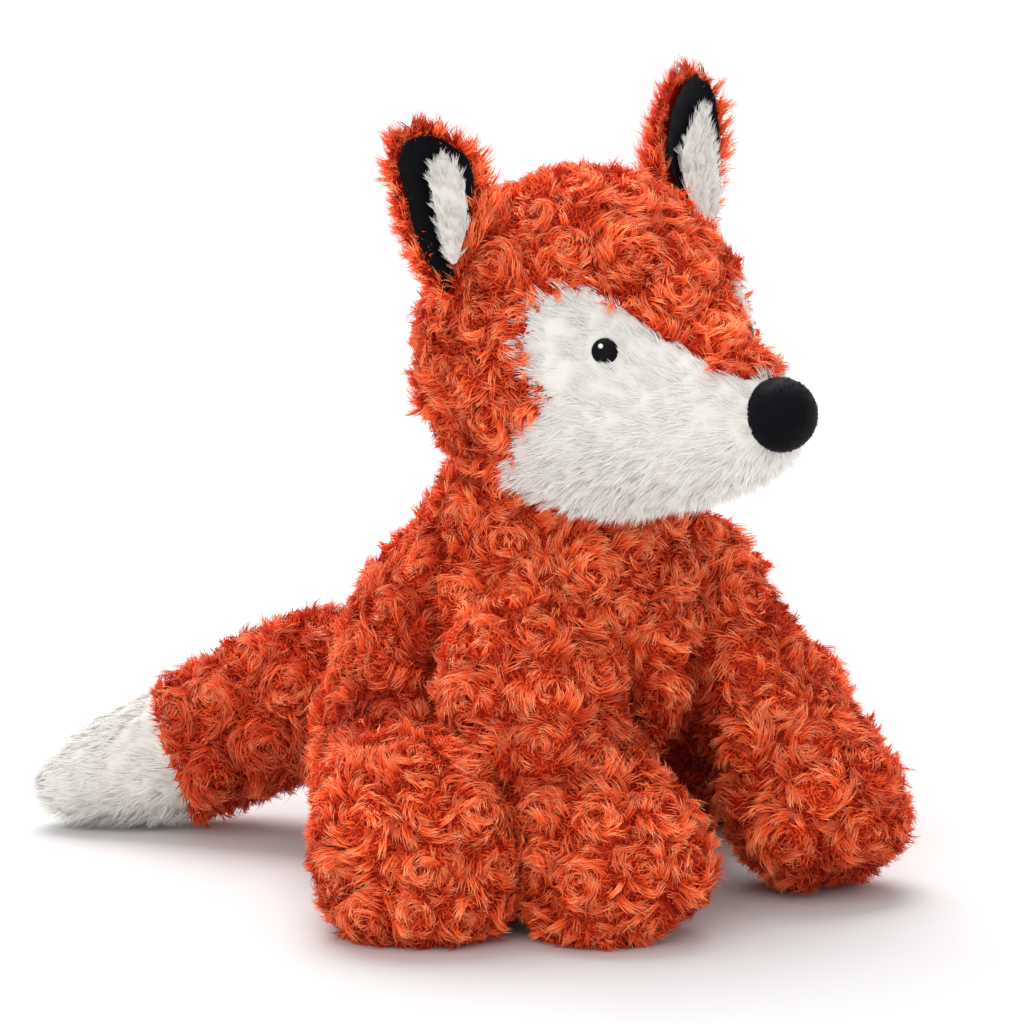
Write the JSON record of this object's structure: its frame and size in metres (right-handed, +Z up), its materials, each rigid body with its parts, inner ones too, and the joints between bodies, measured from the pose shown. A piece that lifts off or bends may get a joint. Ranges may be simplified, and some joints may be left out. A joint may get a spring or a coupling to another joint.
{
  "type": "plush fox",
  "caption": "Sitting plush fox with sewn limbs, turning head, folding ears and a tail that lies on the floor.",
  "frame": {"origin": "centre of the flat seat, on the floor", "axes": "+Z up, the fox looks along -Y, its right side is -X"},
  "size_m": [0.2745, 0.2949, 0.2582],
  "materials": {
    "orange_plush": "swirled long plush",
    "white_plush": "straight long plush",
    "black_fleece": "short fleece and thread",
    "fibre_filling": "loose polyester fibre",
    "cotton": "plain woven cotton"
  },
  "bodies": {
    "body": {"body_skin": "orange_plush", "body_filling": "fibre_filling", "seat_panel": "cotton", "pellet_bag": "cotton"},
    "head": {"head_skin": "orange_plush", "face_panel_left": "white_plush", "face_panel_right": "white_plush", "head_filling": "fibre_filling", "nose_cover": "black_fleece", "nose_filling": "fibre_filling", "eye_left": "black_fleece", "eye_right": "black_fleece", "eye_glint_left": "white_plush", "eye_glint_right": "white_plush"},
    "ear_left": {"ear_left": "orange_plush", "ear_lining_left": "black_fleece", "ear_patch_left": "white_plush"},
    "ear_right": {"ear_right": "orange_plush", "ear_lining_right": "black_fleece", "ear_patch_right": "white_plush"},
    "front_leg_left": {"front_leg_left": "orange_plush", "front_leg_left_filling": "fibre_filling"},
    "front_leg_right": {"front_leg_right": "orange_plush", "front_leg_right_filling": "fibre_filling"},
    "hind_leg_left": {"hind_leg_left": "orange_plush", "hind_leg_left_filling": "fibre_filling"},
    "hind_leg_right": {"hind_leg_right": "orange_plush", "hind_leg_right_filling": "fibre_filling"},
    "tail": {"tail_skin": "orange_plush", "tail_tip": "white_plush", "tail_filling": "fibre_filling"}
  },
  "joints": [
    {"name": "head_turn", "type": "hinge", "parent": "body", "child": "head", "pos_m": [0, -0.017, 0.138], "axis": [0, 0, 1], "range_deg": [-28, 28], "stiffness_Nm_per_rad": 0.1},
    {"name": "ear_left_fold", "type": "hinge", "parent": "head", "child": "ear_left", "pos_m": [0.04746, -0.0223, 0.21397], "axis": [0.6172, 0, -0.7868], "range_deg": [-35, 25], "stiffness_Nm_per_rad": 0.005},
    {"name": "ear_right_fold", "type": "hinge", "parent": "head", "child": "ear_right", "pos_m": [-0.04746, -0.0223, 0.21397], "axis": [0.6165, 0, 0.7874], "range_deg": [-35, 25], "stiffness_Nm_per_rad": 0.005},
    {"name": "front_leg_left_lift", "type": "hinge", "parent": "body", "child": "front_leg_left", "pos_m": [0.042, -0.047, 0.092], "axis": [-1, 0, 0], "range_deg": [0, 45], "stiffness_Nm_per_rad": 0.03},
    {"name": "front_leg_right_lift", "type": "hinge", "parent": "body", "child": "front_leg_right", "pos_m": [-0.042, -0.047, 0.092], "axis": [-1, 0, 0], "range_deg": [0, 45], "stiffness_Nm_per_rad": 0.03},
    {"name": "hind_leg_left_splay", "type": "hinge", "parent": "body", "child": "hind_leg_left", "pos_m": [0.06, -0.008, 0.042], "axis": [0, 0, 1], "range_deg": [-32, 0], "stiffness_Nm_per_rad": 0.05},
    {"name": "hind_leg_right_splay", "type": "hinge", "parent": "body", "child": "hind_leg_right", "pos_m": [-0.06, -0.008, 0.042], "axis": [0, 0, 1], "range_deg": [-34, 0], "stiffness_Nm_per_rad": 0.05},
    {"name": "tail_swing", "type": "hinge", "parent": "body", "child": "tail", "pos_m": [-0.012, 0.052, 0.05], "axis": [0, 0, 1], "range_deg": [-15, 15], "stiffness_Nm_per_rad": 0.03}
  ]
}
